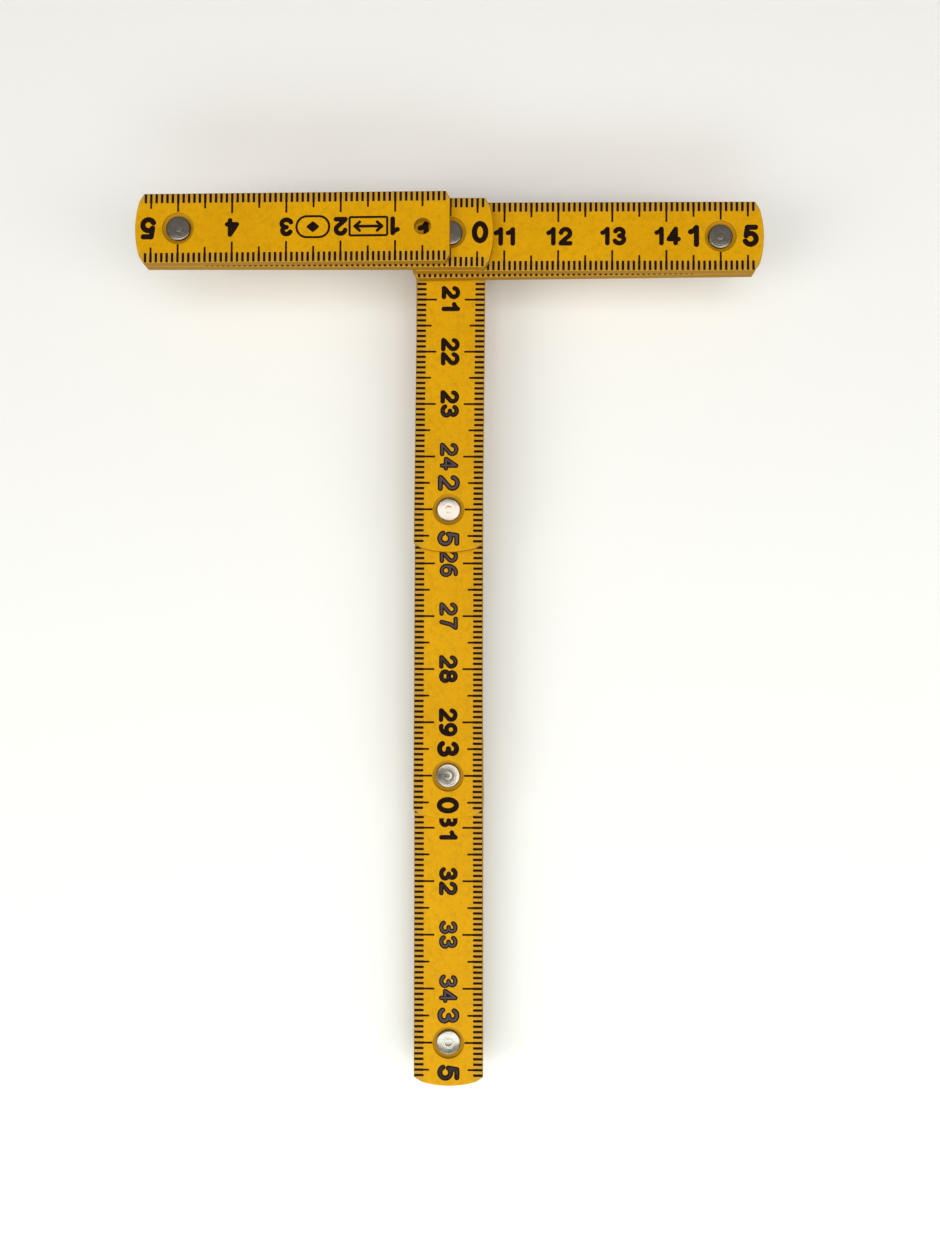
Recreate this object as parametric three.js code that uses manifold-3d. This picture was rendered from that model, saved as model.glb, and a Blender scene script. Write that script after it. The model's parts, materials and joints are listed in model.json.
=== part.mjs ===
// Pocket folding rule, half a metre long when opened.
//
// Ten flat moulded blades carry 5 cm of scale each. Neighbours overlap at their ends and turn on a
// headed rivet, each blade one layer below the one before it, so every joint turns right round.
// The rule lies set out as a letter T, each limb two blades thick: blades 1 and 2 make the left arm,
// 3 and 4 the right arm, 5 to 7 run down the stem, and 8 to 10 come back up it underneath.
//
// Frame: millimetres, +Z up along the rivets, +Y from the foot of the stem to the arms, +X along the
// right arm. The origin is the middle of the set-out rule's box, on the surface that it lies on.
import * as THREE from "three";
import { mergeVertices } from "three/addons/utils/BufferGeometryUtils.js";
import Module from "manifold-3d";

// Blades
const JOINT_PITCH = 50; // from one rivet to the next: 5 cm of scale
const WIDTH = 13;
const THICKNESS = 1.6;
const RUNNING_GAP = 0.15; // between the faces of two neighbouring blades
const EDGE_BEVEL = 0.2; // broken edge along both faces

// Rounded blade ends, measured from the rivet's axis
const END_REACH = 8; // to the tip
const END_RADIUS = 18; // of the shallow end curve
const END_CORNER = 5.1; // half the width of that curve
const SHOULDER_REACH = 6.4; // where the long side stops and the corner cut begins

// Square ends, at 0 and at 50 cm
const SQUARE_CUT_ALONG = 0.75;
const SQUARE_CUT_ACROSS = 1.2;

// Hole for a key ring, in the first blade
const RING_HOLE_RADIUS = 1.5;
const RING_HOLE_FROM_END = 5;
const RING_HOLE_RIM = 0.2;

// Joint: rivet, the recesses that its heads lie in, and the spring washer under the lower head
const SHANK_RADIUS = 1.5;
const PIVOT_HOLE_RADIUS = 1.6;
const HEAD_RADIUS = 2.25;
const HEAD_EDGE = 0.18; // height and width of the rolled edge of a head
const HEAD_BELOW_FACE = 0.05; // both heads lie just under the blade faces
const UPPER_HEAD_THICKNESS = 0.47;
const LOWER_HEAD_THICKNESS = 0.35;
const DIMPLE_RADIUS = 0.6; // mark that the riveting tool leaves in the upper head
const DIMPLE_DEPTH = 0.1;
const RECESS_RADIUS = 2.9;
const UPPER_RECESS_DEPTH = 0.55;
const LOWER_RECESS_DEPTH = 0.75;
const WASHER_INNER_RADIUS = 1.62;
const WASHER_OUTER_RADIUS = 2.2;
const WASHER_THICKNESS = 0.15;
const WASHER_CONE = 0.1;
const CLEARANCE = 0.04; // between pieces that press on each other

// Detent: a bearing ring and four dimples under each far end, four bumps on the near end below it
const RING_INNER_RADIUS = 2.2;
const RING_OUTER_RADIUS = 3.4;
const RING_HEIGHT = 0.1;
const DETENT_CIRCLE = 4.75;
const DETENTS = 4;
const BUMP_RADIUS = 0.5;
const BUMP_HEIGHT = 0.1;
const SOCKET_RADIUS = 0.65;
const SOCKET_DEPTH = 0.15;

// The way that each blade points, from its low figures to its high ones, in degrees from +X.
// The joints have a little play, so that the limbs are not quite square to each other.
const HEADINGS = [180, -0.5, -0.4, 180.2, -90.5, -90.1, -89.9, 90, 90.5, 90];

const BLADES = HEADINGS.length;
const LAYER = THICKNESS + RUNNING_GAP;
const FACETS = 24; // of round features
const DETENT_FACETS = 8;
const OVERCUT = 1; // how far a cutting tool reaches past the face that it enters

const wasm = await Module();
wasm.setup();

const plastic = new THREE.MeshStandardMaterial({ color: 0xdca200, roughness: 0.55, metalness: 0 });
const aluminium = new THREE.MeshStandardMaterial({ color: 0xa8a6a2, roughness: 0.35, metalness: 1 });
const steel = new THREE.MeshStandardMaterial({ color: 0x8c8f94, roughness: 0.3, metalness: 1 });

// A closed geometry as a solid that others can be cut from or joined to.
function toSolid(geometry) {
  const bare = new THREE.BufferGeometry();
  bare.setAttribute("position", geometry.getAttribute("position"));
  bare.setIndex(geometry.index);
  const merged = mergeVertices(bare, 1e-4);
  const corners = merged.index.array;
  const triangles = [];
  for (let i = 0; i < corners.length; i += 3) {
    const [a, b, c] = corners.subarray(i, i + 3);
    if (a !== b && b !== c && c !== a) triangles.push(a, b, c);
  }
  return new wasm.Manifold(
    new wasm.Mesh({
      numProp: 3,
      vertProperties: new Float32Array(merged.attributes.position.array),
      triVerts: new Uint32Array(triangles),
    }),
  );
}

// A solid as a geometry with flat faces, ready for its mesh.
function toGeometry(solid) {
  const mesh = solid.getMesh();
  const geometry = new THREE.BufferGeometry();
  geometry.setAttribute("position", new THREE.BufferAttribute(mesh.vertProperties, 3));
  geometry.setIndex(new THREE.BufferAttribute(mesh.triVerts, 1));
  return geometry;
}

// A solid turned about Z. The profile is [radius, height] pairs from the bottom to the top.
function turned(profile, facets = FACETS) {
  const points = profile.map(([radius, height]) => new THREE.Vector2(radius, height));
  return new THREE.LatheGeometry(points, facets).rotateX(Math.PI / 2);
}

// A plain cylinder along Z, at a place in the blade's plane, between two heights.
function cylinder(radius, low, high, x = 0, y = 0, facets = FACETS) {
  const profile = [[0, low], [radius, low], [radius, high], [0, high]];
  return turned(profile, facets).translate(x, y, 0);
}

// Adds one end of the outline, its rounded tip at x + side * END_REACH. side is 1 at the far end,
// -1 at the near end, and the outline runs anticlockwise.
function roundedEnd(shape, x, side) {
  const half = WIDTH / 2;
  const sweep = Math.asin(END_CORNER / END_RADIUS);
  const centre = x + side * (END_REACH - END_RADIUS);
  const facing = side > 0 ? 0 : Math.PI;
  shape.lineTo(x + side * SHOULDER_REACH, -side * half);
  shape.absarc(centre, 0, END_RADIUS, facing - sweep, facing + sweep, false);
  shape.lineTo(x + side * SHOULDER_REACH, side * half);
}

function squareEnd(shape, x, side) {
  const half = WIDTH / 2;
  shape.lineTo(x - side * SQUARE_CUT_ALONG, -side * half);
  shape.lineTo(x, -side * (half - SQUARE_CUT_ACROSS));
  shape.lineTo(x, side * (half - SQUARE_CUT_ACROSS));
  shape.lineTo(x - side * SQUARE_CUT_ALONG, side * half);
}

// The plain plate of a blade, its scale running along +X from 0 to JOINT_PITCH.
function plate(first, last) {
  const shape = new THREE.Shape();
  shape.moveTo(JOINT_PITCH / 2, -WIDTH / 2);
  (last ? squareEnd : roundedEnd)(shape, JOINT_PITCH, 1);
  (first ? squareEnd : roundedEnd)(shape, 0, -1);
  shape.closePath();
  const geometry = new THREE.ExtrudeGeometry(shape, {
    depth: THICKNESS - 2 * EDGE_BEVEL,
    bevelThickness: EDGE_BEVEL,
    bevelSize: EDGE_BEVEL,
    bevelOffset: -EDGE_BEVEL,
    bevelSegments: 1,
    curveSegments: 10,
  });
  return geometry.translate(0, 0, EDGE_BEVEL);
}

// Calls place(x, y) for each detent around a joint at joint x. They stand on the blade's diagonals.
function eachDetent(jointX, place) {
  for (let i = 0; i < DETENTS; i++) {
    const angle = ((i + 0.5) / DETENTS) * 2 * Math.PI;
    place(jointX + DETENT_CIRCLE * Math.cos(angle), DETENT_CIRCLE * Math.sin(angle));
  }
}

// The far end lies on top of the next blade: it takes the rivet's upper head.
function withUpperJoint(blade) {
  const x = JOINT_PITCH;
  const top = THICKNESS;
  const ring = cylinder(RING_OUTER_RADIUS, -RING_HEIGHT, OVERCUT / 2, x);
  const recess = cylinder(RECESS_RADIUS, top - UPPER_RECESS_DEPTH, top + OVERCUT, x);
  let made = blade.add(toSolid(ring)).subtract(toSolid(recess));
  const ringMiddle = cylinder(RING_INNER_RADIUS, -OVERCUT, 0, x);
  const pivot = cylinder(PIVOT_HOLE_RADIUS, -OVERCUT, top, x);
  made = made.subtract(toSolid(ringMiddle)).subtract(toSolid(pivot));
  eachDetent(x, (px, py) => {
    const socket = cylinder(SOCKET_RADIUS, -OVERCUT, SOCKET_DEPTH, px, py, DETENT_FACETS);
    made = made.subtract(toSolid(socket));
  });
  return made;
}

// The near end lies under the blade before it: it takes the rivet's lower head and the washer.
function withLowerJoint(blade) {
  const recess = cylinder(RECESS_RADIUS, -OVERCUT, LOWER_RECESS_DEPTH);
  const pivot = cylinder(PIVOT_HOLE_RADIUS, 0, THICKNESS + OVERCUT);
  let made = blade.subtract(toSolid(recess)).subtract(toSolid(pivot));
  eachDetent(0, (px, py) => {
    const top = THICKNESS + BUMP_HEIGHT;
    const bump = cylinder(BUMP_RADIUS, THICKNESS - BUMP_RADIUS, top, px, py, DETENT_FACETS);
    made = made.add(toSolid(bump));
  });
  return made;
}

function withRingHole(blade) {
  const wide = RING_HOLE_RADIUS + RING_HOLE_RIM + OVERCUT;
  const cutter = turned([
    [0, -OVERCUT],
    [wide, -OVERCUT],
    [RING_HOLE_RADIUS, RING_HOLE_RIM],
    [RING_HOLE_RADIUS, THICKNESS - RING_HOLE_RIM],
    [wide, THICKNESS + OVERCUT],
    [0, THICKNESS + OVERCUT],
  ]);
  return blade.subtract(toSolid(cutter.translate(RING_HOLE_FROM_END, 0, 0)));
}

function bladeGeometry(number) {
  const first = number === 1;
  const last = number === BLADES;
  let blade = toSolid(plate(first, last));
  blade = first ? withRingHole(blade) : withLowerJoint(blade);
  if (!last) blade = withUpperJoint(blade);
  return toGeometry(blade);
}

// The rivet, standing on the underside of the lower of the two blades that it holds.
function rivetGeometry() {
  const bottom = HEAD_BELOW_FACE;
  const lowerHead = bottom + LOWER_HEAD_THICKNESS;
  const top = LAYER + THICKNESS - HEAD_BELOW_FACE;
  const upperHead = top - UPPER_HEAD_THICKNESS;
  return turned([
    [0, bottom],
    [HEAD_RADIUS - HEAD_EDGE, bottom],
    [HEAD_RADIUS, bottom + HEAD_EDGE],
    [HEAD_RADIUS, lowerHead],
    [SHANK_RADIUS, lowerHead],
    [SHANK_RADIUS, upperHead],
    [HEAD_RADIUS, upperHead],
    [HEAD_RADIUS, top - HEAD_EDGE],
    [HEAD_RADIUS - HEAD_EDGE, top],
    [DIMPLE_RADIUS, top],
    [DIMPLE_RADIUS / 2, top - DIMPLE_DEPTH],
    [0, top - DIMPLE_DEPTH],
  ]);
}

// The coned spring washer, its hollow side up, between the lower head and the recess over it.
function washerGeometry() {
  const low = HEAD_BELOW_FACE + LOWER_HEAD_THICKNESS + CLEARANCE;
  return turned([
    [WASHER_INNER_RADIUS, low],
    [WASHER_OUTER_RADIUS, low + WASHER_CONE],
    [WASHER_OUTER_RADIUS, low + WASHER_CONE + WASHER_THICKNESS],
    [WASHER_INNER_RADIUS, low + WASHER_THICKNESS],
    [WASHER_INNER_RADIUS, low],
  ]);
}

const twoDigits = (number) => String(number).padStart(2, "0");

function addMesh(parent, name, geometry, material, place, height, heading = 0) {
  const mesh = new THREE.Mesh(geometry, material);
  mesh.name = name;
  mesh.position.set(place.x, place.y, height);
  mesh.rotation.z = heading;
  parent.add(mesh);
}

// Sets the rule out, blade after blade, from the zero mark down through the layers.
function setOut() {
  const rule = new THREE.Group();
  const rivet = rivetGeometry();
  const washer = washerGeometry();
  const place = new THREE.Vector2(0, 0);
  HEADINGS.forEach((degrees, index) => {
    const number = index + 1;
    const heading = THREE.MathUtils.degToRad(degrees);
    const underside = (BLADES - number) * LAYER;
    addMesh(rule, `blade_${twoDigits(number)}`, bladeGeometry(number), plastic, place, underside, heading);
    if (number === BLADES) return;
    place.x += JOINT_PITCH * Math.cos(heading);
    place.y += JOINT_PITCH * Math.sin(heading);
    const lowerBlade = underside - LAYER;
    addMesh(rule, `rivet_${twoDigits(number)}`, rivet, aluminium, place, lowerBlade);
    addMesh(rule, `spring_washer_${twoDigits(number)}`, washer, steel, place, lowerBlade);
  });
  return rule;
}

const rule = setOut();
const middle = new THREE.Box3().setFromObject(rule, true).getCenter(new THREE.Vector3());
rule.children.forEach((mesh) => mesh.position.sub(new THREE.Vector3(middle.x, middle.y, 0)));

export default rule;
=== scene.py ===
"""Folding rule: the looks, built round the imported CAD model.

Lengths are in millimetres until a mesh is placed. Lights, camera and shader distances are in metres."""
import json
import math

import bmesh
import bpy
from mathutils import Matrix, Vector


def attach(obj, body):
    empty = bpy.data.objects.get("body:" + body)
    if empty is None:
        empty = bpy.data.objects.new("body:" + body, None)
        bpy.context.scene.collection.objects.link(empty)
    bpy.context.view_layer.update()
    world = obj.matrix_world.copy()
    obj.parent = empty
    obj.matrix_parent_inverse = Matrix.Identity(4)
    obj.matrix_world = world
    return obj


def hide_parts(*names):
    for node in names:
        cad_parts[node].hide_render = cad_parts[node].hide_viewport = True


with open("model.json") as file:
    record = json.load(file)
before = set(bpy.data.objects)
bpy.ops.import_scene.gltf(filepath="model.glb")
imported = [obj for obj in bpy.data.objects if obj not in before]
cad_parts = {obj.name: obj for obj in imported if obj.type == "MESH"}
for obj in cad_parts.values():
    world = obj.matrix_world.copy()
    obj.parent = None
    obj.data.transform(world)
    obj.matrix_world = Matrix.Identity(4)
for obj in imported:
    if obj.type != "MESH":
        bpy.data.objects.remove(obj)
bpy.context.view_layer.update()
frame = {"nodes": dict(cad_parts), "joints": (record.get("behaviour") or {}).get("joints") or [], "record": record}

MM = 0.001
BLADES = 10
PITCH = 50.0
WIDTH = 13.0
THICKNESS = 1.6
LAYER = 1.75

END_REACH = 8.0
END_RADIUS = 18.0
END_CORNER = 5.1
SHOULDER_REACH = 6.4
SQUARE_CUT_ALONG = 0.75
SQUARE_CUT_ACROSS = 1.2
EDGE_ROUND = 0.22

RECESS_RADIUS = 2.9
UPPER_RECESS_DEPTH = 0.55
LOWER_RECESS_DEPTH = 0.75
RECESS_RIM = 0.14
RECESS_LEVEL_PAST_HEAD = 0.10
PIVOT_HOLE_RADIUS = 1.6
DISH = 0.45  # how much of a recess's depth its floor has lost at its edge
RING_HOLE_RADIUS = 1.5
RING_HOLE_AT = 5.0
RING_HOLE_RIM = 0.22

HEAD_RADIUS = 2.25
HEAD_BELOW_FACE = 0.05
UPPER_HEAD = 0.47
LOWER_HEAD = 0.35
HEAD_EDGE = 0.17
SHANK_RADIUS = 1.5
RIVET_TURN = 137.5  # degrees from one rivet to the next, so that no two look alike
HEAD_DOME = 0.019  # fall of the upper head from its middle, per square of the radius
# Stations of the upper head, as radius and depth of the ring mark and the dimple in its middle
HEAD_MARKS = (
    (1.75, 0.0),
    (1.40, 0.0),
    (1.05, 0.0),
    (0.80, 0.018),
    (0.66, 0.02),
    (0.50, 0.0),
    (0.30, 0.0),
    (0.0, 0.008),
)

TICK_WIDTH = 0.47
TICK_INNER_WIDTH = 0.37
MM_TICK = 1.85
HALF_TICK = 2.9
CM_TICK = 3.85
TICK_TO_RECESS = 0.12
TICK_WRAP = 30.0  # degrees of the rounded edge that a tick runs over
FIGURE_HEIGHT = 3.55
FIGURE_LINE = 0.88
FIGURE_ADVANCE = 2.7
ELEVEN_ADVANCE = 2.25
JOINT_FIGURE_HEIGHT = 4.2
JOINT_FIGURE_LINE = 1.0
JOINT_FIGURE_AFTER = 5.5
JOINT_FIGURE_BEFORE = 5.0

# Which millimetres of a blade, first and last, carry ticks
END_TICKS = (1, 49)
TOP_TICKS = (5, 56)
UNDER_TICKS = (-6, 44)

MARK_FRAME_LINE = 0.42
ARROW_AT = 14.9
ARROW_HALF_LENGTH = 2.5
ARROW_HEAD = (0.9, 0.8)
ARROW_LINE = 0.55
LOZENGE_AT = 25.1
LOZENGE_HALF = (0.9, 0.75)
LOZENGE_LINE = 0.5
LOZENGE_DOT = 0.6

INK_RISE = 0.030
INK_BEVEL = 0.27
INK_STEP = 0.0008
INK_LEVELS = 12
FACE_SINK = 0.036  # how far the moulded faces lie inside the CAD blade's, to leave room for the ink

FLOOR_GREY = (0.91, 0.91, 0.91, 1)
YELLOW_DEEP = (0.650, 0.314, 0.0, 1)
YELLOW_PLAIN = (0.710, 0.352, 0.0, 1)
YELLOW_DULL = (0.53, 0.262, 0.002, 1)
YELLOW_PALE = (0.87, 0.47, 0.008, 1)
YELLOW_BY_EDGE = (0.49, 0.28, 0.042, 1)
# Painted shade: the blades' side walls and recess floors are darkened towards this brown, walls more than floors
WALL_SHADE_BROWN = (0.30, 0.142, 0.006, 1)
INK_EDGE_DARK = (0.010, 0.0026, 0.0004, 1)
INK_EDGE_LIGHT = (0.032, 0.009, 0.0007, 1)
INK_DARK = (0.003, 0.0012, 0.0008, 1)
INK_LIGHT = (0.009, 0.004, 0.003, 1)
INK_SHEEN = (0.96, 0.82, 1.0, 1)
RIVET_DARK = (0.45, 0.41, 0.365, 1)
RIVET_LIGHT = (0.62, 0.57, 0.505, 1)
# Painted shade: the rim of each rivet head is darkened towards this colour, in place of the dark reflection and
# shade at its rounded edge
RIVET_RIM_SHADE = (0.05, 0.033, 0.018, 1)
STEEL_DARK = (0.36, 0.37, 0.39, 1)
STEEL_LIGHT = (0.52, 0.53, 0.55, 1)

EDGE_TINT_FROM = 0.0043
EDGE_TINT_TO = 0.0055
# Painted shade is full within the first distance of the blade's middle plane and gone beyond the second, which
# takes in side walls and recess floors
SHADE_FULL_WITHIN = 0.00062  # distance from the blade's middle plane
SHADE_NONE_BEYOND = 0.00077
# Painted shade on the rivet head's rim grows from the first radius to the second
RIM_SHADE_FROM = 0.00198
RIM_SHADE_TO = 0.00222

# ---------------------------------------------------------------- materials


def new_material(name):
    material = bpy.data.materials.new(name)
    material.use_nodes = True
    tree = material.node_tree
    return material, tree, tree.nodes["Principled BSDF"]


def node(tree, kind, **values):
    made = tree.nodes.new(kind)
    for key, value in values.items():
        if key in made.inputs:
            made.inputs[key].default_value = value
        else:
            setattr(made, key, value)
    return made


def noise(tree, vector, scale, detail=3.0, roughness=0.55):
    made = node(tree, "ShaderNodeTexNoise", Scale=scale, Detail=detail, Roughness=roughness)
    tree.links.new(vector, made.inputs["Vector"])
    return made.outputs["Fac"]


def remap(tree, value, low, high, to_low, to_high):
    made = node(tree, "ShaderNodeMapRange")
    for key, number in zip(("From Min", "From Max", "To Min", "To Max"), (low, high, to_low, to_high)):
        made.inputs[key].default_value = number
    tree.links.new(value, made.inputs["Value"])
    return made.outputs["Result"]


def mix_colour(tree, factor, first, second):
    made = node(tree, "ShaderNodeMix", data_type="RGBA")
    tree.links.new(factor, made.inputs["Factor"])
    for socket, value in ((made.inputs[6], first), (made.inputs[7], second)):
        if isinstance(value, tuple):
            socket.default_value = value
        else:
            tree.links.new(value, socket)
    return made.outputs[2]


def bump(tree, height, strength, distance, normal=None):
    made = node(tree, "ShaderNodeBump", Strength=strength, Distance=distance)
    tree.links.new(height, made.inputs["Height"])
    if normal is not None:
        tree.links.new(normal, made.inputs["Normal"])
    return made.outputs["Normal"]


def maths(tree, operation, first, second=None):
    made = node(tree, "ShaderNodeMath", operation=operation)
    for socket, value in zip(made.inputs, (first, second)):
        if isinstance(value, float):
            socket.default_value = value
        elif value is not None:
            tree.links.new(value, socket)
    return made.outputs[0]


def local_coordinates(tree):
    """A piece's own coordinates in metres, from before it was set in its place. place() keeps them."""
    return node(tree, "ShaderNodeAttribute", attribute_name="local").outputs["Vector"]


def plastic_material():
    material, tree, shader = new_material("yellow_plastic")
    where = local_coordinates(tree)
    clouds = noise(tree, where, 60.0, 4.0)
    grain = noise(tree, where, 2600.0, 3.0, 0.7)
    speck = noise(tree, where, 900.0, 4.0, 0.65)
    mottle = remap(tree, clouds, 0.3, 0.7, 0.0, 1.0)
    base = mix_colour(tree, mottle, YELLOW_DEEP, YELLOW_PLAIN)
    dull = mix_colour(tree, remap(tree, speck, 0.46, 0.72, 0.0, 0.75), base, YELLOW_DULL)
    light = mix_colour(tree, remap(tree, grain, 0.52, 0.72, 0.0, 0.5), dull, YELLOW_PALE)
    place_in_blade = node(tree, "ShaderNodeSeparateXYZ")
    tree.links.new(where, place_in_blade.inputs["Vector"])
    off_middle = maths(tree, "ABSOLUTE", place_in_blade.outputs["Y"])
    edge = remap(tree, off_middle, EDGE_TINT_FROM, EDGE_TINT_TO, 0.0, 0.70)
    tinted = mix_colour(tree, edge, light, YELLOW_BY_EDGE)
    above_middle = maths(tree, "SUBTRACT", place_in_blade.outputs["Z"], THICKNESS / 2 * MM)
    depth = maths(tree, "ABSOLUTE", above_middle)
    below = remap(tree, depth, SHADE_FULL_WITHIN, SHADE_NONE_BEYOND, 1.0, 0.0)
    facing = node(tree, "ShaderNodeSeparateXYZ")
    tree.links.new(node(tree, "ShaderNodeNewGeometry").outputs["Normal"], facing.inputs["Vector"])
    upright = maths(tree, "ABSOLUTE", facing.outputs["Z"])
    # Painted shade on side walls and recess floors, stronger on the faces that stand upright
    painted_shade = maths(tree, "MULTIPLY", below, remap(tree, upright, 0.5, 0.95, 0.85, 0.55))
    with_painted_shade = mix_colour(tree, painted_shade, tinted, WALL_SHADE_BROWN)
    tree.links.new(with_painted_shade, shader.inputs["Base Color"])
    rough = remap(tree, grain, 0.3, 0.7, 0.42, 0.56)
    tree.links.new(rough, shader.inputs["Roughness"])
    shader.inputs["Specular IOR Level"].default_value = 0.09
    fine = bump(tree, grain, 0.3, 0.00006)
    tree.links.new(bump(tree, speck, 0.2, 0.0001, fine), shader.inputs["Normal"])
    shader.inputs["IOR"].default_value = 1.5
    return material


def ink_material(name, darkest, lightest, smoothest, roughest, shine):
    material, tree, shader = new_material(name)
    where = local_coordinates(tree)
    wear = noise(tree, where, 1400.0, 4.0, 0.6)
    ink = mix_colour(tree, remap(tree, wear, 0.35, 0.75, 0.0, 1.0), darkest, lightest)
    tree.links.new(ink, shader.inputs["Base Color"])
    tree.links.new(remap(tree, wear, 0.3, 0.7, smoothest, roughest), shader.inputs["Roughness"])
    tree.links.new(bump(tree, wear, 0.2, 0.00004), shader.inputs["Normal"])
    shader.inputs["Specular IOR Level"].default_value = shine
    shader.inputs["Specular Tint"].default_value = INK_SHEEN
    return material


def rivet_material():
    material, tree, shader = new_material("rivet_aluminium")
    where = local_coordinates(tree)
    blotch = noise(tree, where, 700.0, 4.0, 0.6)
    fine = noise(tree, where, 6000.0, 2.0)
    rings = node(tree, "ShaderNodeTexWave", wave_type="RINGS", rings_direction="Z")
    rings.inputs["Scale"].default_value = 900.0
    rings.inputs["Distortion"].default_value = 1.5
    tree.links.new(where, rings.inputs["Vector"])
    colour = mix_colour(tree, blotch, RIVET_DARK, RIVET_LIGHT)
    flat = node(tree, "ShaderNodeVectorMath", operation="MULTIPLY")
    tree.links.new(where, flat.inputs[0])
    flat.inputs[1].default_value = (1.0, 1.0, 0.0)
    radius = node(tree, "ShaderNodeVectorMath", operation="LENGTH")
    tree.links.new(flat.outputs["Vector"], radius.inputs[0])
    # Painted shade and dark reflection round the head's rounded rim
    rim_shade = remap(tree, radius.outputs["Value"], RIM_SHADE_FROM, RIM_SHADE_TO, 0.0, 0.95)
    tree.links.new(mix_colour(tree, rim_shade, colour, RIVET_RIM_SHADE), shader.inputs["Base Color"])
    shader.inputs["Metallic"].default_value = 1.0
    tree.links.new(remap(tree, blotch, 0.3, 0.7, 0.14, 0.24), shader.inputs["Roughness"])
    ringed = bump(tree, rings.outputs["Fac"], 0.08, 0.00003)
    crinkled = bump(tree, blotch, 0.40, 0.00008, ringed)
    tree.links.new(bump(tree, fine, 0.1, 0.00001, crinkled), shader.inputs["Normal"])
    return material


def washer_material():
    material, tree, shader = new_material("washer_steel")
    where = local_coordinates(tree)
    blotch = noise(tree, where, 1500.0, 3.0)
    tree.links.new(mix_colour(tree, blotch, STEEL_DARK, STEEL_LIGHT), shader.inputs["Base Color"])
    shader.inputs["Metallic"].default_value = 1.0
    tree.links.new(remap(tree, blotch, 0.3, 0.7, 0.25, 0.4), shader.inputs["Roughness"])
    return material


# ---------------------------------------------------------------- meshes


def mesh_of(name, points, faces):
    mesh = bpy.data.meshes.new(name)
    mesh.from_pydata([tuple(p) for p in points], [], faces)
    mesh.update()
    return mesh


def lathe(profile, segments, at=(0.0, 0.0)):
    """A closed solid turned about Z. Its profile runs up from the axis to the axis."""
    points = [(at[0], at[1], profile[0][1])]
    faces = []
    rims = profile[1:-1]
    for radius, z in rims:
        for i in range(segments):
            a = 2 * math.pi * i / segments
            points.append((at[0] + radius * math.cos(a), at[1] + radius * math.sin(a), z))
    points.append((at[0], at[1], profile[-1][1]))
    top = len(points) - 1
    for i in range(segments):
        j = (i + 1) % segments
        faces.append((0, 1 + j, 1 + i))
        for k in range(len(rims) - 1):
            low, high = 1 + k * segments, 1 + (k + 1) * segments
            faces.append((low + i, low + j, high + j, high + i))
        last = 1 + (len(rims) - 1) * segments
        faces.append((last + i, last + j, top))
    return mesh_of("lathe", points, faces)


def rounded_end(x, side):
    half = WIDTH / 2
    sweep = math.asin(END_CORNER / END_RADIUS)
    facing = 0.0 if side > 0 else math.pi
    centre = x + side * (END_REACH - END_RADIUS)
    points = [(x + side * SHOULDER_REACH, -side * half)]
    for i in range(17):
        a = facing - sweep + 2 * sweep * i / 16
        points.append((centre + END_RADIUS * math.cos(a), END_RADIUS * math.sin(a)))
    points.append((x + side * SHOULDER_REACH, side * half))
    return points


def square_end(x, side):
    half = WIDTH / 2
    inner = half - SQUARE_CUT_ACROSS
    back = x - side * SQUARE_CUT_ALONG
    return [(back, -side * half), (x, -side * inner), (x, side * inner), (back, side * half)]


def inset(outline, distance):
    """The convex anticlockwise outline, moved in by distance."""
    moved = []
    count = len(outline)
    for i in range(count):
        before = Vector(outline[i]) - Vector(outline[i - 1])
        after = Vector(outline[(i + 1) % count]) - Vector(outline[i])
        n1 = Vector((-before.y, before.x)).normalized()
        n2 = Vector((-after.y, after.x)).normalized()
        bisector = (n1 + n2).normalized()
        moved.append(Vector(outline[i]) + bisector * (distance / bisector.dot(n1)))
    return moved


def plate(number):
    """The blank blade, its edges rounded."""
    ends = square_end(PITCH, 1) if number == BLADES else rounded_end(PITCH, 1)
    ends += square_end(0.0, -1) if number == 1 else rounded_end(0.0, -1)
    steps = [(math.pi / 2) * i / 5 for i in range(6)]
    rings = [(EDGE_ROUND * (1 - math.sin(a)), FACE_SINK + EDGE_ROUND * (1 - math.cos(a))) for a in steps]
    rings += [(inward, THICKNESS - z) for inward, z in reversed(rings)]
    points, faces = [], []
    count = len(ends)
    for inward, z in rings:
        points += [(p[0], p[1], z) for p in inset(ends, inward)]
    for k in range(len(rings) - 1):
        for i in range(count):
            j = (i + 1) % count
            faces.append((k * count + i, k * count + j, (k + 1) * count + j, (k + 1) * count + i))
    faces.append(tuple(reversed(range(count))))
    faces.append(tuple(range((len(rings) - 1) * count, len(rings) * count)))
    return mesh_of("plate", points, faces)


def recess_cutter(x, floor, mouth):
    """Cuts a recess with a rounded rim and a dished floor, from that floor to its mouth at a face."""
    up = 1 if mouth > floor else -1
    profile = [(0.0, floor), (HEAD_RADIUS + RECESS_LEVEL_PAST_HEAD, floor)]
    profile.append((RECESS_RADIUS, floor + DISH * (mouth - floor)))
    for i in range(5):
        a = math.pi / 2 * i / 4
        out = RECESS_RIM * (1 - math.cos(a))
        profile.append((RECESS_RADIUS + out, mouth - up * RECESS_RIM * (1 - math.sin(a))))
    profile += [(RECESS_RADIUS + RECESS_RIM, mouth + up), (0.0, mouth + up)]
    if up < 0:
        profile.reverse()
    return lathe(profile, 64, (x, 0.0))


def ring_hole_cutter():
    profile = [(0.0, -1.0), (RING_HOLE_RADIUS + RING_HOLE_RIM, -1.0)]
    for i in range(5):
        a = math.pi / 2 * i / 4
        radius = RING_HOLE_RADIUS + RING_HOLE_RIM * (1 - math.sin(a))
        profile.append((radius, FACE_SINK + RING_HOLE_RIM * (1 - math.cos(a))))
    profile += [(r, THICKNESS - z) for r, z in reversed(profile)]
    return lathe(profile, 48, (RING_HOLE_AT, 0.0))


def pivot_hole_cutter(x):
    profile = [(0, -1), (PIVOT_HOLE_RADIUS, -1), (PIVOT_HOLE_RADIUS, 3), (0, 3)]
    return lathe(profile, 48, (x, 0.0))


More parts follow.
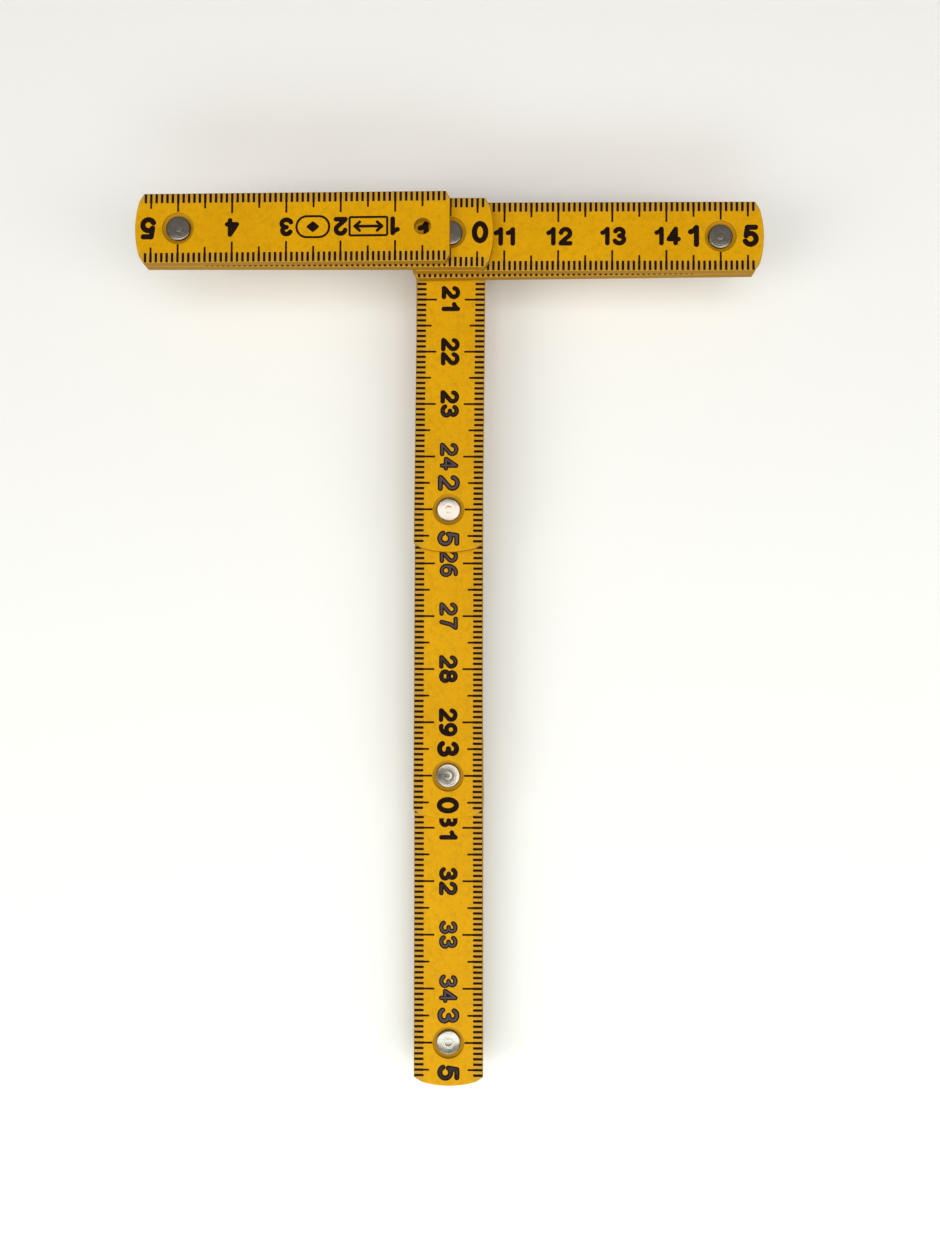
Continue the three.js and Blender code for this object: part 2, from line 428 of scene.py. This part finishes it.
def cut(mesh, cutters):
    """Takes the cutters out of the mesh with exact booleans."""
    target = bpy.data.objects.new("target", mesh)
    bpy.context.scene.collection.objects.link(target)
    for cutter in cutters:
        tool = bpy.data.objects.new("tool", cutter)
        bpy.context.scene.collection.objects.link(tool)
        modifier = target.modifiers.new("cut", "BOOLEAN")
        modifier.operation = "DIFFERENCE"
        modifier.solver = "EXACT"
        modifier.object = tool
        bpy.context.view_layer.update()
        depsgraph = bpy.context.evaluated_depsgraph_get()
        made = bpy.data.meshes.new_from_object(target.evaluated_get(depsgraph))
        target.modifiers.clear()
        target.data = made
        bpy.data.objects.remove(tool)
    bpy.data.objects.remove(target)
    return made


def place(name, mesh, matrix, material, body, smooth=True):
    """Puts a mesh, made in millimetres, into the row frame as a piece that rides on a body."""
    mesh.transform(Matrix.Scale(MM, 4))
    mesh.name = name
    if smooth:
        shade(mesh)
    own = mesh.attributes.new("local", "FLOAT_VECTOR", "POINT")
    own.data.foreach_set("vector", [c for vertex in mesh.vertices for c in vertex.co])
    mesh.transform(matrix)
    mesh.materials.clear()
    mesh.materials.append(material)
    piece = bpy.data.objects.new(name, mesh)
    bpy.context.scene.collection.objects.link(piece)
    if smooth:
        modifier = piece.modifiers.new("normals", "WEIGHTED_NORMAL")
        modifier.keep_sharp = True
    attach(piece, body)
    return piece


def shade(mesh, angle=35.0):
    work = bmesh.new()
    work.from_mesh(mesh)
    for face in work.faces:
        face.smooth = True
    for edge in work.edges:
        if len(edge.link_faces) == 2 and edge.calc_face_angle() > math.radians(angle):
            edge.smooth = False
    work.to_mesh(mesh)
    work.free()


def blade_mesh(number):
    cutters = []
    if number < BLADES:
        cutters.append(recess_cutter(PITCH, THICKNESS - UPPER_RECESS_DEPTH, THICKNESS - FACE_SINK))
        cutters.append(pivot_hole_cutter(PITCH))
    if number > 1:
        cutters.append(recess_cutter(0.0, LOWER_RECESS_DEPTH, FACE_SINK))
        cutters.append(pivot_hole_cutter(0.0))
    else:
        cutters.append(ring_hole_cutter())
    return cut(plate(number), cutters)


def rivet_mesh():
    """Both heads and the shank, standing on the underside of the lower blade."""
    low = HEAD_BELOW_FACE
    high = LAYER + THICKNESS - HEAD_BELOW_FACE
    flat = HEAD_RADIUS - HEAD_EDGE
    shoulder = high - HEAD_DOME * flat ** 2
    profile = [(0.0, low)]
    for i in range(6):
        a = math.pi / 2 * i / 5
        profile.append((flat + HEAD_EDGE * math.sin(a), low + HEAD_EDGE * (1 - math.cos(a))))
    profile += [(HEAD_RADIUS, low + LOWER_HEAD), (SHANK_RADIUS, low + LOWER_HEAD)]
    profile += [(SHANK_RADIUS, high - UPPER_HEAD), (HEAD_RADIUS, high - UPPER_HEAD)]
    for i in range(6):
        a = math.pi / 2 * i / 5
        profile.append((flat + HEAD_EDGE * math.cos(a), shoulder - HEAD_EDGE * (1 - math.sin(a))))
    for radius, sunk in HEAD_MARKS:
        profile.append((radius, high - HEAD_DOME * radius ** 2 - sunk))
    return lathe(profile, 64)


# ---------------------------------------------------------------- print


def arc(cx, cy, rx, ry, start, stop, steps=12):
    angles = [math.radians(start + (stop - start) * i / steps) for i in range(steps + 1)]
    return [(cx + rx * math.cos(a), cy + ry * math.sin(a)) for a in angles]


# Centre lines of the figures, each one unit high, as strokes. The second number is the width.
FIGURE_STRETCH = 1.12
FIGURES = {
    "0": ([arc(0.29, 0.5, 0.29, 0.5, 90, 450, 28)], 0.58),
    "1": ([[(0.02, 0.74), (0.20, 0.82), (0.32, 1.0), (0.32, 0.0)]], 0.34),
    "2": ([arc(0.29, 0.71, 0.28, 0.29, 172, -35, 14) + [(0.03, 0.06), (0.0, 0.0), (0.58, 0.0)]], 0.58),
    "3": ([arc(0.27, 0.76, 0.25, 0.24, 160, -90, 12) + arc(0.27, 0.26, 0.29, 0.26, 90, -160, 14)], 0.57),
    "4": ([[(0.42, 0.0), (0.42, 1.0), (0.0, 0.28), (0.60, 0.28)]], 0.60),
    "5": ([[(0.53, 1.0), (0.12, 1.0), (0.05, 0.50)] + arc(0.27, 0.32, 0.29, 0.32, 128, -155, 16)], 0.56),
    "6": ([arc(0.29, 0.31, 0.28, 0.31, 0, 360, 24), arc(0.42, 0.42, 0.42, 0.58, 78, 190, 12)], 0.58),
    "7": ([[(0.0, 1.0), (0.56, 1.0), (0.34, 0.62), (0.20, 0.0)]], 0.56),
    "8": ([arc(0.29, 0.76, 0.24, 0.24, 0, 360, 22), arc(0.29, 0.27, 0.29, 0.27, 0, 360, 24)], 0.58),
    "9": ([arc(0.29, 0.69, 0.28, 0.31, 0, 360, 24), arc(0.16, 0.58, 0.42, 0.58, -102, 10, 12)], 0.58),
}


class Print:
    """Collects the ink of one face of a blade, in the blade's own plane, as one mesh.

    Each stretch of ink is a hair higher than the one before, so that no two faces lie in one plane."""

    def __init__(self):
        self.points = []
        self.faces = []
        self.flat = []
        self.level = 0

    def add(self, points, faces, flat=()):
        """flat holds the places in faces of those that are the level, glossy middle of a line."""
        start = len(self.points)
        self.flat += [len(self.faces) + i for i in flat]
        self.points += points
        self.faces += [tuple(start + i for i in face) for face in faces]

    def rise(self):
        self.level = (self.level + 1) % INK_LEVELS
        return INK_RISE + self.level * INK_STEP

    def disc(self, x, y, radius, steps=20):
        turns = [2 * math.pi * i / steps for i in range(steps)]
        ring = [(math.cos(a), math.sin(a)) for a in turns]
        bevel = min(INK_BEVEL, radius * 0.6)
        high = self.rise()
        outer = [(x + radius * c, y + radius * s, 0.0) for c, s in ring]
        inner = [(x + (radius - bevel) * c, y + (radius - bevel) * s, high) for c, s in ring]
        faces = [(i, (i + 1) % steps, steps + (i + 1) % steps, steps + i) for i in range(steps)]
        faces.append(tuple(range(steps, 2 * steps)))
        self.add(outer + inner, faces, [steps])

    def band(self, line, width):
        """One smooth run of ink. A line that ends where it starts is closed."""
        half = width / 2
        bevel = min(INK_BEVEL, half * 0.6)
        high = self.rise()
        section = [(-half, 0.0), (-half + bevel, high), (half - bevel, high), (half, 0.0)]
        closed = (Vector(line[0]) - Vector(line[-1])).length < 1e-6
        path = [Vector(p) for p in (line[:-1] if closed else line)]
        count = len(path)
        points = []
        for i, here in enumerate(path):
            before = path[i - 1] if closed or i > 0 else None
            after = path[(i + 1) % count] if closed or i < count - 1 else None
            ways = [(here - before).normalized()] if before is not None else []
            ways += [(after - here).normalized()] if after is not None else []
            way = sum(ways, Vector((0.0, 0.0))).normalized()
            side = Vector((-way.y, way.x)) / max(way.dot(ways[0]), 0.5)
            points += [(here.x + side.x * d, here.y + side.y * d, z) for d, z in section]
        faces = []
        for i in range(count if closed else count - 1):
            a, b = 4 * i, 4 * ((i + 1) % count)
            faces += [(a + j, b + j, b + j + 1, a + j + 1) for j in range(3)]
        self.add(points, faces, range(1, len(faces), 3))

    def stroke(self, line, width):
        """Ink along a line, with round ends and round sharp corners."""
        closed = (Vector(line[0]) - Vector(line[-1])).length < 1e-6
        corners = [0]
        for i in range(1, len(line) - 1):
            before = (Vector(line[i]) - Vector(line[i - 1])).normalized()
            after = (Vector(line[i + 1]) - Vector(line[i])).normalized()
            if before.dot(after) < math.cos(math.radians(32)):
                corners.append(i)
        corners.append(len(line) - 1)
        for a, b in zip(corners, corners[1:]):
            self.band(line[a:b + 1], width)
        if not closed or len(corners) > 2:
            for i in sorted(set(corners)):
                self.disc(line[i][0], line[i][1], width / 2)

    def figure(self, character, x, y, height, width):
        """One figure with its middle at x, y."""
        strokes, figure_width = FIGURES[character]
        size = height - width
        wide = size * FIGURE_STRETCH
        for line in strokes:
            moved = [(x + (px - figure_width / 2) * wide, y + (py - 0.5) * size) for px, py in line]
            self.stroke(moved, width)

    def strip(self, x, side, path, width):
        """A narrow strip across the blade with bevelled long sides, along a path of (distance, height)."""
        half = width / 2
        top = half - width * 0.3
        section = ((-half, INK_RISE), (-top, 0), (top, 0), (half, INK_RISE))
        points = []
        for y, z, ny, nz in path:
            for dx, sunk in section:
                points.append((x + dx, side * (y - ny * sunk), z - nz * sunk))
        faces = []
        for i in range(len(path) - 1):
            for j in range(3):
                quad = (4 * i + j, 4 * i + j + 1, 4 * i + j + 5, 4 * i + j + 4)
                faces.append(quad if side > 0 else tuple(reversed(quad)))
        self.add(points, faces)

    def tick(self, x, length, side):
        """A tick that runs inwards from over the blade's rounded long edge. Long ticks narrow inwards."""
        edge = WIDTH / 2
        outer = min(length, MM_TICK)
        path = [(edge - outer, INK_RISE, 0.0, 1.0), (edge - EDGE_ROUND, INK_RISE, 0.0, 1.0)]
        radius = EDGE_ROUND + INK_RISE
        for i in range(1, 6):
            a = math.radians(TICK_WRAP) * i / 5
            y, z = edge - EDGE_ROUND + radius * math.sin(a), -EDGE_ROUND + radius * math.cos(a)
            path.append((y, z, math.sin(a), math.cos(a)))
        self.strip(x, side, path, TICK_WIDTH)
        if length > outer:
            inner = [(edge - length, INK_RISE, 0.0, 1.0), (edge - outer, INK_RISE, 0.0, 1.0)]
            self.strip(x, side, inner, TICK_INNER_WIDTH)

    def frame(self, x, y, width, height, radius, line):
        steps = 8
        points = []
        for cx, cy, start in ((1, 1, 0), (-1, 1, 90), (-1, -1, 180), (1, -1, 270)):
            centre = (x + cx * (width / 2 - radius), y + cy * (height / 2 - radius))
            points += arc(centre[0], centre[1], radius, radius, start, start + 90, steps)
        points.append(points[0])
        self.stroke(points, line)


def scale_print(number, first_mm, last_mm, joint_x):
    """The graduations and figures between two millimetres, and the big figure round the rivet."""
    ink = Print()
    base = 5 * (number - 1)
    for mm in range(first_mm, last_mm + 1):
        length = CM_TICK if mm % 10 == 0 else HALF_TICK if mm % 5 == 0 else MM_TICK
        if mm == joint_x and joint_x is not None:
            length = min(length, WIDTH / 2 - RECESS_RADIUS - TICK_TO_RECESS)
        for side in (1, -1):
            ink.tick(float(mm), length, side)
    for cm in range(1, 5):
        text = str(base + cm)
        if not first_mm <= 10 * cm <= last_mm:
            continue
        advance = ELEVEN_ADVANCE if text == "11" else FIGURE_ADVANCE
        for i, character in enumerate(text):
            middle = 10.0 * cm + (i - (len(text) - 1) / 2) * advance
            ink.figure(character, middle, 0.0, FIGURE_HEIGHT, FIGURE_LINE)
    if joint_x is not None:
        text = str(base + (5 if joint_x > 0 else 0))
        after = joint_x + JOINT_FIGURE_AFTER
        ink.figure(text[-1], after, 0.0, JOINT_FIGURE_HEIGHT, JOINT_FIGURE_LINE)
        if len(text) == 2:
            before = joint_x - JOINT_FIGURE_BEFORE
            ink.figure(text[0], before, 0.0, JOINT_FIGURE_HEIGHT, JOINT_FIGURE_LINE)
    return ink


def length_marks(ink):
    """Two plain framed signs between the first figures: a double arrow and a lozenge."""
    ink.frame(ARROW_AT, 0.0, 6.9, 3.4, 0.25, MARK_FRAME_LINE)
    back, up = ARROW_HEAD
    ends = (ARROW_AT - ARROW_HALF_LENGTH, ARROW_AT + ARROW_HALF_LENGTH)
    ink.stroke([(ends[0] + 0.1, 0.0), (ends[1] - 0.1, 0.0)], ARROW_LINE)
    for tip, way in zip(ends, (1, -1)):
        ink.stroke([(tip + way * back, up), (tip, 0.0), (tip + way * back, -up)], ARROW_LINE)
    ink.frame(LOZENGE_AT, 0.0, 6.0, 3.9, 1.9, MARK_FRAME_LINE)
    along, across = LOZENGE_HALF
    turns = ((-1, 0), (0, 1), (1, 0), (0, -1), (-1, 0))
    ink.stroke([(LOZENGE_AT + along * x, across * y) for x, y in turns], LOZENGE_LINE)
    ink.disc(LOZENGE_AT, 0.0, LOZENGE_DOT)


def print_mesh(number):
    """The ink of both faces, each sunk a little way into its own side so that it leaves no gap."""
    first, last = number == 1, number == BLADES
    top_from = (END_TICKS if first else TOP_TICKS)[0]
    top_to = (END_TICKS if last else TOP_TICKS)[1]
    top = scale_print(number, top_from, top_to, None if last else PITCH)
    if first:
        length_marks(top)
    under_from = (END_TICKS if first else UNDER_TICKS)[0]
    under_to = (END_TICKS if last else UNDER_TICKS)[1]
    under = scale_print(number, under_from, under_to, None if first else 0.0)
    points = [(x, y, THICKNESS - FACE_SINK + z) for x, y, z in top.points]
    faces = list(top.faces)
    flat = top.flat + [len(faces) + i for i in under.flat]
    start = len(points)
    points += [(x, -y, FACE_SINK - z) for x, y, z in under.points]
    faces += [tuple(start + i for i in face) for face in under.faces]
    return mesh_of("print", points, faces), flat


# ---------------------------------------------------------------- assembly

record = frame["record"]
mounts = {mount["name"]: mount for mount in record["mounts"]}
joints = {joint["child"]: joint for joint in frame["joints"]}
pivots = [None] + [Vector(joints[f"link_{k:02d}"]["pos_m"]).xy for k in range(1, BLADES)] + [None]
pivots[0] = 2 * Vector(mounts["top_face"]["pos_m"]).xy - pivots[1]
pivots[BLADES] = 2 * Vector(mounts["table_face"]["pos_m"]).xy - pivots[BLADES - 1]

plastic = plastic_material()
ink_edge = ink_material("black_ink_edge", INK_EDGE_DARK, INK_EDGE_LIGHT, 0.55, 0.75, 0.06)
ink_flat = ink_material("black_ink", INK_DARK, INK_LIGHT, 0.07, 0.16, 0.54)
aluminium = rivet_material()
steel = washer_material()

for k in range(1, BLADES + 1):
    body = f"link_{k:02d}"
    along = pivots[k] - pivots[k - 1]
    underside = (BLADES - k) * LAYER * MM
    turn = Matrix.Rotation(math.atan2(along.y, along.x), 4, "Z")
    to_row = Matrix.Translation((pivots[k - 1].x, pivots[k - 1].y, underside)) @ turn
    blade = place(f"blade_body_{k:02d}", blade_mesh(k), to_row, plastic, body)
    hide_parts(f"blade_{k:02d}")
    ink, flat = print_mesh(k)
    place(f"print_{k:02d}", ink, to_row, ink_edge, body, smooth=False)
    ink.materials.append(ink_flat)
    for i in flat:
        ink.polygons[i].material_index = 1
    if k == BLADES:
        continue
    spin = Matrix.Rotation(math.radians(RIVET_TURN * k), 4, "Z")
    to_joint = Matrix.Translation((pivots[k].x, pivots[k].y, underside - LAYER * MM)) @ spin
    rivet = place(f"rivet_body_{k:02d}", rivet_mesh(), to_joint, aluminium, body)
    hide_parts(f"rivet_{k:02d}")
    washer = frame["nodes"][f"spring_washer_{k:02d}"]
    washer.data.materials.clear()
    washer.data.materials.append(steel)

# ---------------------------------------------------------------- floor, lights, camera


FLOOR_HALF = 3.0
FLOOR_BELOW = 0.00005


def floor_material():
    material, tree, shader = new_material("floor")
    shader.inputs["Base Color"].default_value = FLOOR_GREY
    shader.inputs["Roughness"].default_value = 0.9
    return material


floor_corners = [(x * FLOOR_HALF, y * FLOOR_HALF, 0) for x, y in ((-1, -1), (1, -1), (1, 1), (-1, 1))]
floor_mesh = mesh_of("floor", floor_corners, [(0, 1, 2, 3)])
floor = bpy.data.objects.new("floor", floor_mesh)
floor.location.z = -FLOOR_BELOW
floor_mesh.materials.append(floor_material())
bpy.context.scene.collection.objects.link(floor)


def area_light(name, position, target, size, power, colour):
    data = bpy.data.lights.new(name, "AREA")
    data.shape = "RECTANGLE"
    data.size, data.size_y = size
    data.energy = power
    data.color = colour
    light = bpy.data.objects.new(name, data)
    light.location = position
    light.rotation_euler = (Vector(target) - Vector(position)).to_track_quat("-Z", "Y").to_euler()
    bpy.context.scene.collection.objects.link(light)
    return light


PANEL_HEIGHT = 0.6
WARM = (1.0, 0.96, 0.91)
WARMER = (1.0, 0.95, 0.90)
COOL = (0.93, 1.0, 0.98)
GREENISH = (0.82, 1.0, 0.92)
WARM_FILL = (1.0, 0.95, 0.89)
WORLD_COLOUR = (1.0, 0.96, 0.90, 1)
WORLD_STRENGTH = 0.17


def ceiling_panel(name, x0, x1, y0, y1, radiance, colour):
    """A soft panel overhead, between two corners, that faces straight down."""
    size = (x1 - x0, y1 - y0)
    middle = ((x0 + x1) / 2, (y0 + y1) / 2)
    power = radiance * math.pi * size[0] * size[1]
    light = area_light(name, (*middle, PANEL_HEIGHT), (*middle, 0.0), size, power, colour)
    light.rotation_euler = (0.0, 0.0, 0.0)


ceiling_panel("panel_far", -0.36, 0.36, 0.00, 0.195, 1.88, WARMER)
ceiling_panel("panel_near", -0.36, 0.36, -0.33, -0.20, 2.2, COOL)
ceiling_panel("panel_right", 0.035, 0.36, -0.20, 0.00, 2.0, WARM)
area_light("fill_left", (-0.90, -0.40, 0.75), (0, -0.02, 0), (0.7, 0.7), 6.3, WARM_FILL)
area_light("fill_right", (0.90, -0.40, 0.75), (0, -0.02, 0), (0.7, 0.7), 4.9, WARM)
area_light("fill_front", (0.0, -0.42, 0.30), (0, -0.06, 0), (0.5, 0.15), 1.05, GREENISH)

world = bpy.data.worlds.new("studio")
world.use_nodes = True
world.node_tree.nodes["Background"].inputs["Color"].default_value = WORLD_COLOUR
world.node_tree.nodes["Background"].inputs["Strength"].default_value = WORLD_STRENGTH
bpy.context.scene.world = world
bpy.context.scene.view_settings.view_transform = "Standard"

SENSOR_HEIGHT = 36.0
LENS = 26.47
CAMERA_AT = (0.00759, -0.00384, 0.18245)
CAMERA_TURN = (("Z", 0.07), ("Y", 1.32), ("X", 2.236))  # degrees, the first one outermost

camera_data = bpy.data.cameras.new("camera")
camera_data.sensor_fit = "VERTICAL"
camera_data.sensor_height = SENSOR_HEIGHT
camera_data.lens = LENS
camera = bpy.data.objects.new("camera", camera_data)
stance = Matrix.Translation(CAMERA_AT)
for axis, degrees in CAMERA_TURN:
    stance = stance @ Matrix.Rotation(math.radians(degrees), 4, axis)
camera.matrix_world = stance
bpy.context.scene.collection.objects.link(camera)
bpy.context.scene.camera = camera

bpy.context.view_layer.update()
